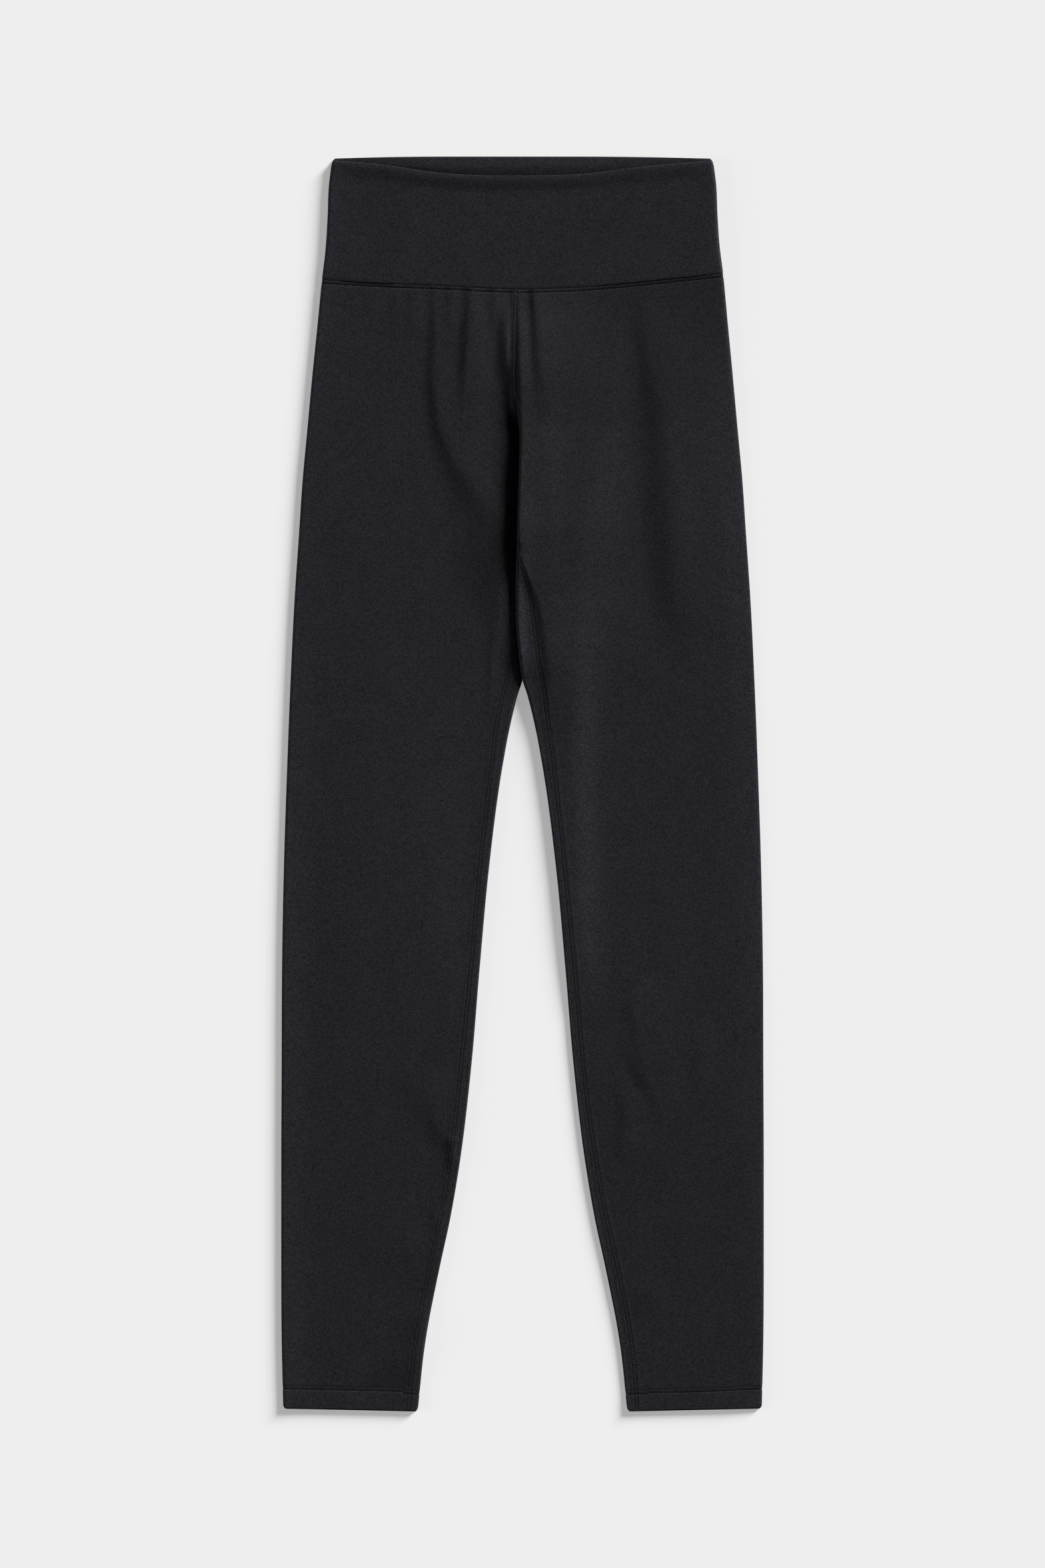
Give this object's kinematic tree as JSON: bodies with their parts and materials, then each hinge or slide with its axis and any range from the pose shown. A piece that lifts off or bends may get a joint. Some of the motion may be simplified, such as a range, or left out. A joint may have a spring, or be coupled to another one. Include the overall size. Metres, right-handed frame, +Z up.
{
  "type": "leggings laid flat",
  "caption": "High-waisted full-length stretch leggings laid flat on a surface, front side up, with a wide scooped waistband and inseams rolled to the front.",
  "frame": {"origin": "middle of the garment's outline, on the surface it lies on", "axes": "+Y towards the waist, +X towards the wearer's left leg, +Z up from the surface"},
  "size_m": [0.3658, 0.9501, 0.0064],
  "materials": {
    "leg_knit": "matt black fine stretch knit",
    "waistband_knit": "matt black fine stretch knit, doubled"
  },
  "bodies": {
    "root": {"waistband": "waistband_knit", "leg_wearer_right": "leg_knit", "leg_wearer_left": "leg_knit"}
  },
  "joints": []
}
